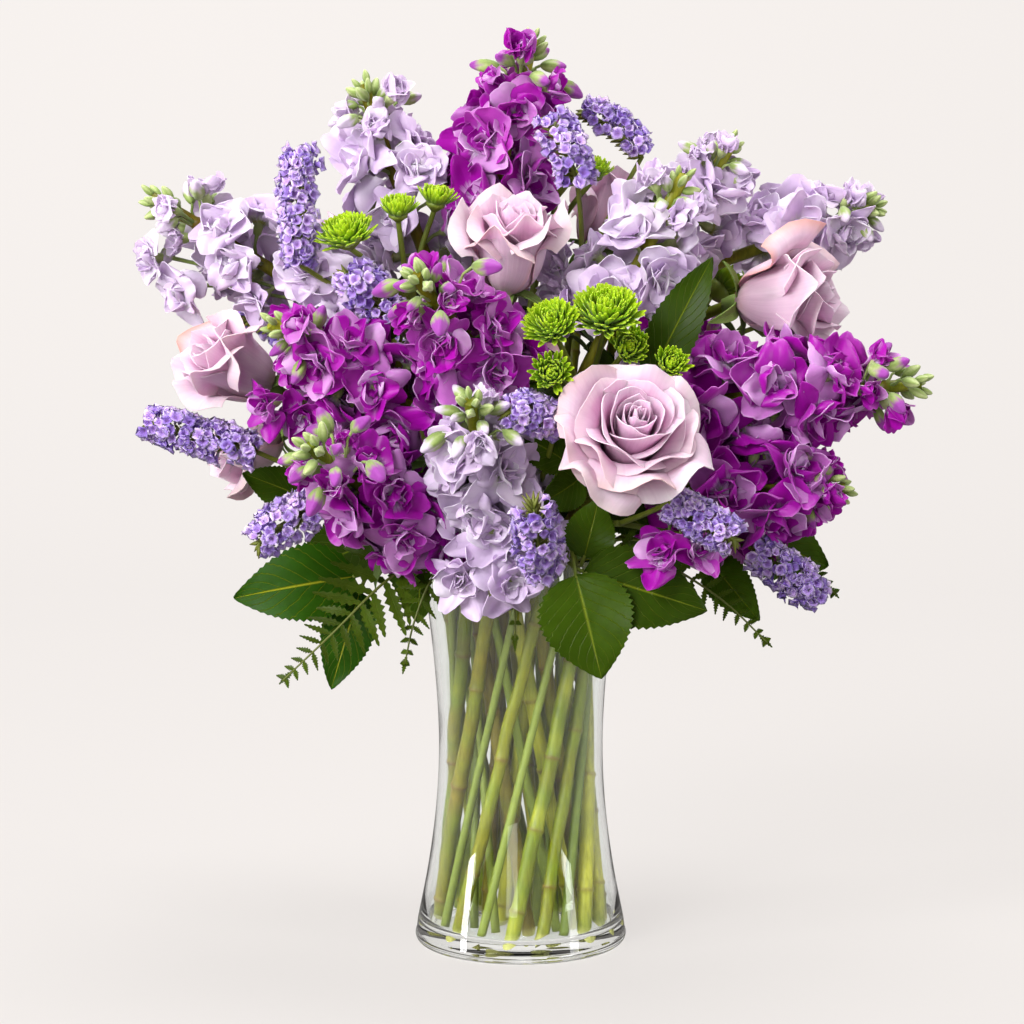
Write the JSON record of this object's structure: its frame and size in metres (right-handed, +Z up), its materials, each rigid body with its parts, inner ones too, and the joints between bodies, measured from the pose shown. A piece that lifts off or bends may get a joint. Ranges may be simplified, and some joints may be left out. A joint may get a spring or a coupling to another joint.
{
  "type": "mixed flower bouquet in a glass vase",
  "caption": "Clear flared glass vase holding a full mixed bouquet of roses, stock, statice and button mums over fern and rose leaves.",
  "frame": {"origin": "middle of the vase's underside, where it stands on the table", "axes": "+Z up the vase, -Y towards the bouquet's front, +X to the right seen from the front"},
  "size_m": [0.382, 0.2922, 0.4619],
  "materials": {
    "glass": "polished",
    "stem": "satin",
    "rose_petal": "matte",
    "purple_petal": "matte",
    "lilac_petal": "matte",
    "statice_petal": "matte",
    "mum_petal": "matte",
    "leaf": "satin",
    "fern": "satin"
  },
  "bodies": {
    "root": {"fern_back": "fern", "fern_centre": "fern", "fern_far_right": "fern", "fern_left": "fern", "fern_low_left": "fern", "fern_right": "fern", "leaf_back_left": "leaf", "leaf_back_right": "leaf", "leaf_far_left": "leaf", "leaf_front": "leaf", "leaf_left": "leaf", "leaf_right": "leaf", "leaf_top": "leaf", "lilac_stock_back": "lilac_petal", "lilac_stock_back_low": "lilac_petal", "lilac_stock_far_right": "lilac_petal", "lilac_stock_front": "lilac_petal", "lilac_stock_left": "lilac_petal", "lilac_stock_top_left": "lilac_petal", "lilac_stock_top_right": "lilac_petal", "lilac_stock_upper_right": "lilac_petal", "mum_back": "mum_petal", "mum_left": "mum_petal", "mum_right": "mum_petal", "mum_top": "mum_petal", "purple_stock_back_left": "purple_petal", "purple_stock_back_right": "purple_petal", "purple_stock_centre": "purple_petal", "purple_stock_left": "purple_petal", "purple_stock_low_left": "purple_petal", "purple_stock_low_right": "purple_petal", "purple_stock_right": "purple_petal", "purple_stock_top": "purple_petal", "rose_back_bloom": "rose_petal", "rose_back_left_bloom": "rose_petal", "rose_back_left_stem": "stem", "rose_back_right_bloom": "rose_petal", "rose_back_right_stem": "stem", "rose_back_stem": "stem", "rose_front_right_bloom": "rose_petal", "rose_front_right_stem": "stem", "rose_left_bloom": "rose_petal", "rose_left_low_bloom": "rose_petal", "rose_left_low_stem": "stem", "rose_left_stem": "stem", "rose_right_bloom": "rose_petal", "rose_right_stem": "stem", "rose_top_bloom": "rose_petal", "rose_top_stem": "stem", "statice_back": "statice_petal", "statice_front": "statice_petal", "statice_left": "statice_petal", "statice_right": "statice_petal", "statice_top": "statice_petal", "statice_upper_left": "statice_petal", "vase": "glass"}
  },
  "joints": []
}
